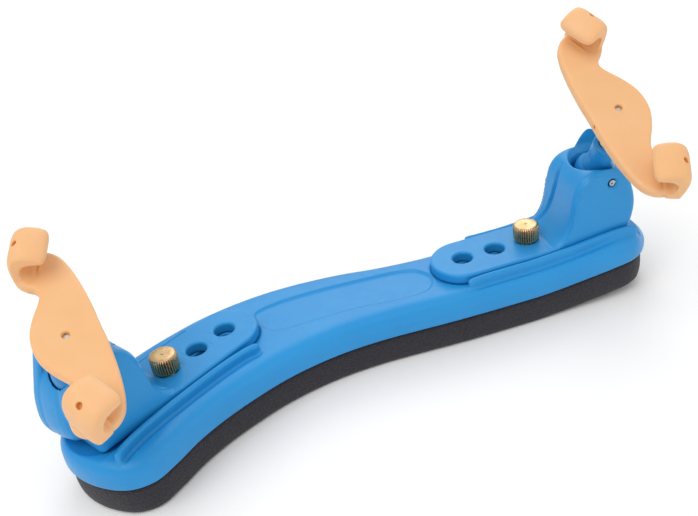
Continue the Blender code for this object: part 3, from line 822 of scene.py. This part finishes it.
def build_coil_pin(side, surface):
    """Pin rolled from spring strip: a spiral section showing at each end."""
    turns = 2.25
    steps = 90
    outer = []
    inner = []
    for i in range(steps + 1):
        t = i / steps
        angle = 2 * math.pi * turns * t
        r = 1.28 - 0.88 * t
        outer.append((r * math.cos(angle), r * math.sin(angle)))
        inner.append(((r - 0.27) * math.cos(angle), (r - 0.27) * math.sin(angle)))
    bm = bmesh.new()
    layers = []
    for z, shrink in ((-10.9, 0.93), (-10.6, 1.0), (10.6, 1.0), (10.9, 0.93)):
        layers.append(([bm.verts.new((x * shrink, y * shrink, z)) for x, y in outer],
                       [bm.verts.new((x * shrink, y * shrink, z)) for x, y in inner]))
    for (a_out, a_in), (b_out, b_in) in zip(layers, layers[1:]):
        for i in range(steps):
            bm.faces.new((a_out[i], a_out[i + 1], b_out[i + 1], b_out[i]))
            bm.faces.new((a_in[i + 1], a_in[i], b_in[i], b_in[i + 1]))
        bm.faces.new((a_out[0], b_out[0], b_in[0], a_in[0]))
        bm.faces.new((a_in[-1], b_in[-1], b_out[-1], a_out[-1]))
    for (row_out, row_in), flip in ((layers[0], True), (layers[-1], False)):
        for i in range(steps):
            quad = (row_out[i], row_out[i + 1], row_in[i + 1], row_in[i])
            bm.faces.new(quad[::-1] if flip else quad)
    bmesh.ops.recalc_face_normals(bm, faces=bm.faces)
    place = seat_frame(side) @ shift(*HINGE) @ turn(90.0, "X")
    piece = put_bm(side + "_coil_pin", bm, place, surface, 40.0)
    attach(piece, side + "_foot_body")
    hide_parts(side + "_hinge_pin")


# ---------------------------------------------------------------- ball yoke and fork


def build_yoke(side, surface):
    """Ball with a cavity for the drum, windows for the hinge pin and a boss for the stud."""
    steps = [math.radians(-88.0 + 4.0 * i) for i in range(36)]
    ball = [(BALL_RADIUS * math.cos(t), BALL_RADIUS * math.sin(t)) for t in steps]
    mould = Moulding(side + "_ball_yoke", stack(turned(ball, 72)))
    top = BOSS_TOP[side]
    boss = [(5.7, 4.2), (5.3, 5.6), (4.8, 7.0), (4.5, 8.4), (4.25, 9.6), (4.1, top - 0.6),
            (3.6, top - 0.15), (2.8, top)]
    mould.add(stack(turned(boss, 64)))
    mould.cut(rod(DRUM_ROOM, -DRUM_GAP, DRUM_GAP, 64), turn(90.0, "Y"))
    mould.cut(prism([(-DRUM_GAP, -DRUM_ROOM), (DRUM_GAP, -DRUM_ROOM), (DRUM_GAP, DRUM_ROOM),
                     (-DRUM_GAP, DRUM_ROOM)], -12.0, 0.2))
    for sign in (-1, 1):
        fan = [(sign * 3.0, -4.0), (sign * 3.0, 3.5)]
        fan += [(sign * 12.0 * math.cos(t), 12.0 * math.sin(t))
                for t in (math.radians(38.0), math.radians(-60.0))]
        mould.cut(stack([[(x, y, z) for y, z in fan] for x in (-1.8, 1.8)]))
    mould.cut(rod(TILT_BORE, -6.3, 6.3, 32), turn(90.0, "Y"))
    mould.cut(rod(STUD_BORE, BORE_FLOOR, 18.0, 48))
    piece = mould.finish(yoke_frame(side), surface, YOKE_SKIN)
    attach(piece, side + "_yoke_body")
    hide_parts(side + "_yoke")


def build_stud(side, surface):
    """Threaded steel stud with the collar that the fork sits on."""
    count = 48
    low = BORE_FLOOR + 0.3 - RISE[side]
    collar = -FORK_THICK - 0.3
    rings = turned([(STUD_RADIUS - 0.4, low)], count)
    steps = int((collar - 1.2 - low - 0.6) / 0.1)
    for k in range(steps + 1):
        rings.append(thread_ring(STUD_THREAD, low + 0.3 + 0.1 * k, count))
    rings += turned([
        (STUD_RADIUS, collar - 1.2), (4.1, collar - 1.2), (COLLAR_RADIUS, collar - 0.95),
        (COLLAR_RADIUS, collar - 0.25), (4.1, collar), (STUD_RADIUS, collar),
        (STUD_RADIUS, -3.2)], count)
    piece = put_bm(side + "_stud", stack(rings), fork_frame(side), surface, 30.0)
    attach(piece, side + "_fork_body")
    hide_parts(side + "_fork_stud")


def fork_loop(steps):
    mirrored = [(-x, y) for x, y in reversed(FORK_HALF[1:])]
    loop = spline(FORK_HALF + [(0.0, -9.7)] + mirrored, steps)
    area = sum(a[0] * b[1] - b[0] * a[1] for a, b in zip(loop, loop[1:] + loop[:1]))
    return loop if area > 0 else loop[::-1]


def build_fork(side, surface):
    """Rubber leaf with a rounded rim and a hooked claw at each end of its outer edge."""
    loop = fork_loop(8)
    mould = Moulding(side + "_fork_rubber", rounded(loop, -FORK_THICK, 0.0, 1.1, 6))
    near, far = CLAW_SPAN
    ends = ((0.0, 1.3), (0.3, 0.9), (0.9, 0.45), (1.9, 0.15), (3.2, 0.0))
    for sign in (-1, 1):
        claw = turn(-CLAW_ANGLE * sign, "Z")
        start = near if sign > 0 else -far
        length = far - near
        rings = []
        for x, shrink in ends + tuple((length - x, shrink) for x, shrink in ends[::-1]):
            section = inset(spline(CLAW_PROFILE, 6), shrink)
            rings.append([(start + x, CLAW_REACH + y, z) for y, z in section])
        mould.add(stack(rings), claw)
        middle = start + length / 2
        dimple = claw @ shift(middle, CLAW_REACH + 4.6, 9.6) @ turn(-38.0, "X")
        mould.cut(rod(0.95, -1.4, 2.0, 24), dimple)
        seam = [(middle - 3.5 + 0.875 * k, CLAW_REACH - 0.7, -0.02) for k in range(9)]
        mould.add(tube(seam, [0.1, 0.3, 0.34, 0.34, 0.34, 0.34, 0.34, 0.3, 0.1], 12), claw)
    mould.cut(rounded(inset(loop, 2.9), -3.1, -1.1, 0.3))
    # Sprue and pin marks left by the mould.
    mould.cut(stack(turned([(0.85, -2.0), (0.9, -0.8), (1.5, 0.2)], 24)))
    mould.cut(rod(STUD_BORE, -9.0, -2.6, 48))
    mould.cut(rod(0.7, -1.5, 1.5, 20), shift(3.0, -9.6, -1.6) @ turn(90.0, "X"))
    piece = mould.finish(fork_frame(side), surface, FORK_SKIN)
    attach(piece, side + "_fork_body")
    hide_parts(side + "_fork_grip")


# ---------------------------------------------------------------- stage


def area_light(name, size, power, place):
    data = bpy.data.lights.new(name, "AREA")
    data.shape = "DISK"
    data.size = size
    data.energy = power
    light = bpy.data.objects.new(name, data)
    bpy.context.scene.collection.objects.link(light)
    light.location = place
    aim = Vector(LIGHT_TARGET) - Vector(place)
    light.rotation_euler = aim.to_track_quat("-Z", "Y").to_euler()


def build_stage():
    bm = bmesh.new()
    bmesh.ops.create_grid(bm, x_segments=8, y_segments=8, size=FLOOR_HALF)
    floor_look = Surface("floor_paper", (0.93, 0.93, 0.93), 0.9)
    floor_look.colour(floor_look.mix(floor_look.noise(2.0), (0.94, 0.94, 0.94), (0.92, 0.92, 0.92)))
    floor = put_bm("floor", bm, Matrix.Identity(4), floor_look.material)
    for light in LIGHTS:
        area_light(*light)
    world = bpy.data.worlds.new("studio")
    world.use_nodes = True
    sky = world.node_tree.nodes["Background"]
    sky.inputs["Color"].default_value = (1.0, 1.0, 1.0, 1.0)
    sky.inputs["Strength"].default_value = WORLD_STRENGTH
    bpy.context.scene.world = world
    bpy.context.scene.view_settings.view_transform = "Standard"

    camera = bpy.data.cameras.new("camera")
    camera.sensor_fit = "HORIZONTAL"
    camera.sensor_width = CAMERA_SENSOR
    camera.lens = CAMERA_LENS
    camera.clip_start = 0.01
    camera.clip_end = 20.0
    holder = bpy.data.objects.new("camera", camera)
    bpy.context.scene.collection.objects.link(holder)
    right = Vector(CAMERA_RIGHT)
    up = Vector(CAMERA_UP)
    place = Matrix((right, up, right.cross(up))).transposed().to_4x4()
    place.translation = Vector(CAMERA_PLACE)
    holder.matrix_world = place
    bpy.context.scene.camera = holder


def main():
    blue = plastic("blue_moulded_plastic", (0.018, 0.275, 0.63), (0.015, 0.255, 0.60))
    deep = plastic("blue_joint_plastic", (0.015, 0.235, 0.57), (0.012, 0.215, 0.54), 0.30)
    black = foam("black_cut_foam")
    peach = rubber("peach_rubber_moulding")
    bright = steel("bright_steel")
    core = nylon("core_nylon_plain")
    build_plate(blue)
    build_pad(black)
    for side in ("right", "left"):
        screw = Vector(JOINTS[side + "_thumbscrew_turn"]["pos_m"])
        build_foot(side, blue)
        build_screw(side, brass(side + "_turned_brass", screw))
        build_coil_pin(side, bright)
        build_yoke(side, deep)
        build_stud(side, bright)
        build_fork(side, peach)
        # Hidden pieces that keep the CAD node's own mesh.
        kept = (
            (side + "_nut_bar", brass(side + "_bar_brass")), (side + "_pivot_drum", deep),
            (side + "_outer_tilt_pin", bright), (side + "_inner_tilt_pin", bright),
            (side + "_fork_core", core),
        )
        for node, surface in kept:
            mesh = frame["nodes"][node].data
            mesh.materials.clear()
            mesh.materials.append(surface)
    build_stage()


main()
